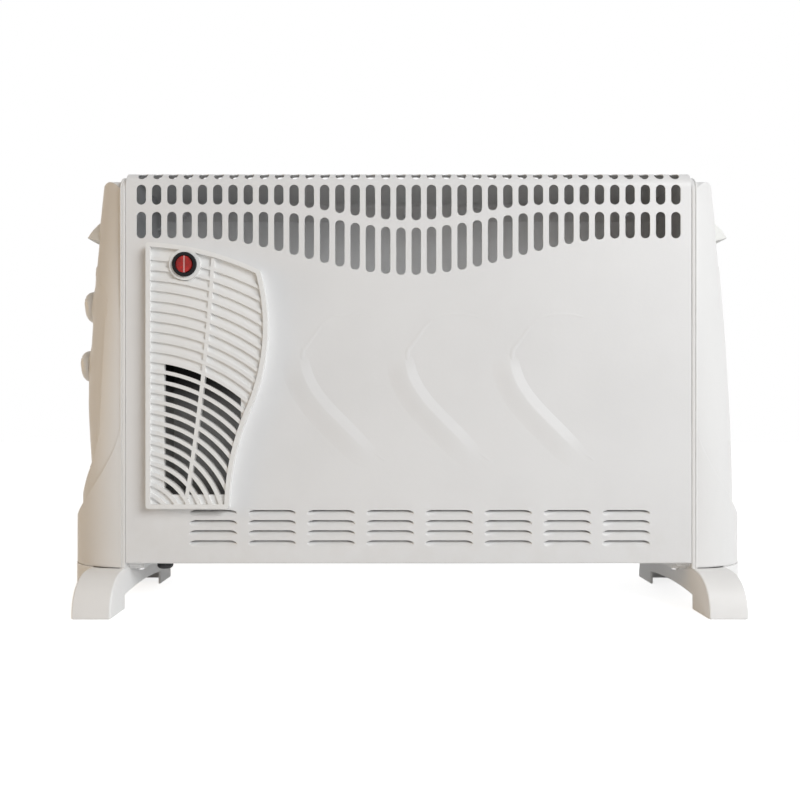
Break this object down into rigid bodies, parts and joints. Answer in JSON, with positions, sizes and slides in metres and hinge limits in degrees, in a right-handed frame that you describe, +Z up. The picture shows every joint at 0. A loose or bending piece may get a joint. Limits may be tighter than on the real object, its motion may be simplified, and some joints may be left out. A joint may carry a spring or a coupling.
{
  "type": "convector heater",
  "caption": "Free-standing electric convector heater with slotted steel case, louvred intake, fan grille, rocker switch, two rotary controls and carrying handles.",
  "frame": {"origin": "on the floor, under the middle of the heater's length and depth", "axes": "+X to the viewer's right along the front, +Y away from the viewer, +Z up"},
  "size_m": [0.666, 0.2, 0.4165],
  "materials": {
    "case_white": "satin powder coat",
    "back_white": "satin powder coat",
    "zinc": "zinc plated sheet",
    "cap_white": "fine matt",
    "grip_cream": "fine matt",
    "grille_cream": "satin",
    "knob_white": "satin",
    "black": "matt",
    "rocker_red": "gloss",
    "bright_steel": "zinc plated",
    "dark_steel": "heat tinted",
    "ceramic": "unglazed",
    "nylon": "matt",
    "brass": "bright"
  },
  "bodies": {
    "heater": {"front_panel": "case_white", "back_panel": "back_white", "base_plate": "zinc", "left_side_plate": "zinc", "right_side_plate": "zinc", "partition_plate": "zinc", "left_end_cap": "cap_white", "right_end_cap": "cap_white", "left_handle_grip": "grip_cream", "right_handle_grip": "grip_cream", "left_foot": "cap_white", "right_foot": "cap_white", "control_panel": "cap_white", "fan_grille": "grille_cream", "grille_screws": "bright_steel", "fan_switch_housing": "black", "selector_body": "nylon", "selector_nut": "brass", "thermostat_body": "nylon", "thermostat_nut": "brass", "foot_screws": "bright_steel", "cap_screws": "bright_steel", "back_screws": "bright_steel", "front_heating_element": "dark_steel", "rear_heating_element": "dark_steel", "element_insulators": "ceramic", "thermal_cutout": "black", "fan_scroll": "black", "fan_duct": "zinc", "motor_bracket": "zinc", "fan_motor": "dark_steel", "terminal_block": "nylon", "cord_gland": "black", "gland_nut": "black"},
    "fan_switch": {"fan_switch_rocker": "rocker_red"},
    "selector_dial": {"selector_knob": "knob_white", "selector_shaft": "bright_steel"},
    "thermostat_dial": {"thermostat_knob": "knob_white", "thermostat_shaft": "bright_steel"},
    "fan_rotor": {"fan_impeller": "black", "fan_shaft": "bright_steel"}
  },
  "joints": [
    {"name": "fan_switch_tilt", "type": "hinge", "parent": "heater", "child": "fan_switch", "pos_m": [-0.2104, -0.066, 0.3253], "axis": [0, 0, 1], "range_deg": [0, 18]},
    {"name": "selector_turn", "type": "hinge", "parent": "heater", "child": "selector_dial", "pos_m": [-0.31503, 0, 0.294], "axis": [-0.9979, 0, 0.0649], "range_deg": [0, 135]},
    {"name": "thermostat_turn", "type": "hinge", "parent": "heater", "child": "thermostat_dial", "pos_m": [-0.31893, 0, 0.234], "axis": [-0.9979, 0, 0.0649], "range_deg": [0, 270]},
    {"name": "fan_spin", "type": "hinge", "parent": "heater", "child": "fan_rotor", "pos_m": [-0.1943, 0, 0.274], "axis": [0, 1, 0], "continuous": true}
  ]
}
